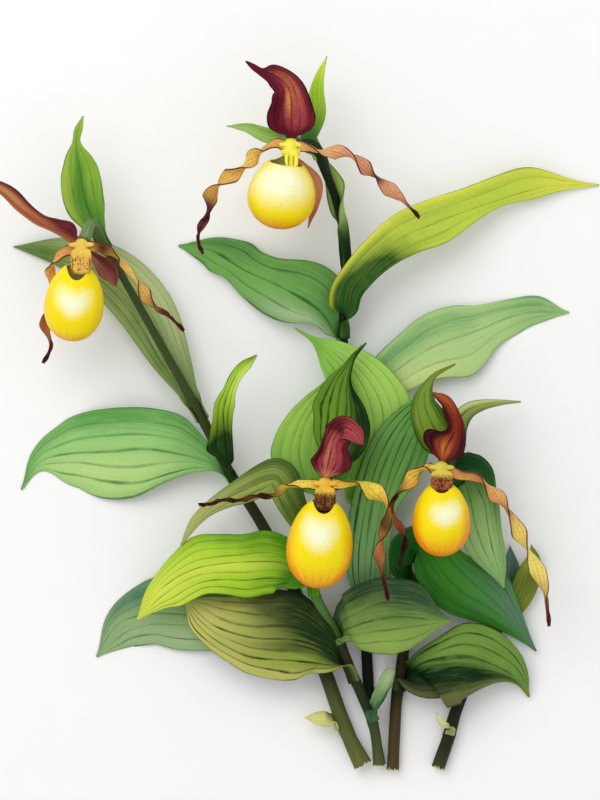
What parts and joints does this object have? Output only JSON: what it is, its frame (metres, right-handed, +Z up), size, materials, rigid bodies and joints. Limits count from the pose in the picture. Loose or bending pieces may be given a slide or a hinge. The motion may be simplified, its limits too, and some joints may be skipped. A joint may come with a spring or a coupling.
{
  "type": "cypripedium orchid plant",
  "caption": "Clump of leafy yellow lady's slipper orchid shoots with pleated leaves, twisted petals and hollow pouches, cut at the base and laid flat.",
  "frame": {"origin": "centre of the laid plant in plan, on the surface that it rests on", "axes": "+Y along the shoots from the cut base to the tips, +X across the shoots to the right, +Z up away from the surface"},
  "size_m": [0.3124, 0.3584, 0.0725],
  "materials": {
    "stem_dark": "matte",
    "stem_green": "matte",
    "stem_brown": "matte",
    "leaf_mid": "matte",
    "leaf_bright": "matte",
    "leaf_yellow": "matte",
    "leaf_teal": "matte",
    "leaf_grey": "matte",
    "leaf_light": "matte",
    "leaf_olive": "matte",
    "leaf_deep": "matte",
    "leaf_vivid": "matte",
    "leaf_pale": "matte",
    "leaf_lime": "matte",
    "sepal_maroon": "matte",
    "sepal_stripe": "matte",
    "sepal_tan": "matte",
    "petal": "matte",
    "pouch": "satin",
    "column": "satin"
  },
  "bodies": {
    "root": {"stem_left": "stem_dark", "stem_front": "stem_green", "stem_right": "stem_dark", "stem_top": "stem_dark", "stem_short": "stem_brown", "scale_left": "leaf_yellow", "leaf_left_1": "leaf_teal", "leaf_left_2": "leaf_mid", "leaf_left_3": "leaf_bright", "leaf_left_4": "leaf_grey", "bract_left": "leaf_mid", "scale_front": "leaf_light", "leaf_front_1": "leaf_olive", "leaf_front_2": "leaf_deep", "leaf_front_3": "leaf_bright", "leaf_front_4": "leaf_olive", "leaf_front_5": "leaf_light", "bract_front": "leaf_deep", "leaf_right_1": "leaf_deep", "leaf_right_2": "leaf_vivid", "leaf_right_3": "leaf_vivid", "leaf_right_4": "leaf_pale", "bract_right": "leaf_mid", "leaf_top_1": "leaf_mid", "leaf_top_2": "leaf_light", "leaf_top_3": "leaf_pale", "leaf_top_4": "leaf_mid", "leaf_top_5": "leaf_lime", "leaf_top_6": "leaf_mid", "bract_top": "leaf_mid", "leaf_top_7": "leaf_mid", "scale_short": "leaf_yellow", "leaf_short_1": "leaf_olive", "leaf_short_2": "leaf_teal", "pouch_left": "pouch", "column_left": "column", "dorsal_sepal_left": "sepal_stripe", "lower_sepals_left": "sepal_maroon", "petal_left_1": "petal", "petal_left_2": "petal", "pouch_front": "pouch", "column_front": "column", "dorsal_sepal_front": "sepal_maroon", "lower_sepals_front": "sepal_tan", "petal_front_1": "petal", "petal_front_2": "petal", "pouch_right": "pouch", "column_right": "column", "dorsal_sepal_right": "sepal_maroon", "lower_sepals_right": "sepal_tan", "petal_right_1": "petal", "petal_right_2": "petal", "pouch_top": "pouch", "column_top": "column", "dorsal_sepal_top": "sepal_maroon", "lower_sepals_top": "sepal_tan", "petal_top_1": "petal", "petal_top_2": "petal"}
  },
  "joints": []
}
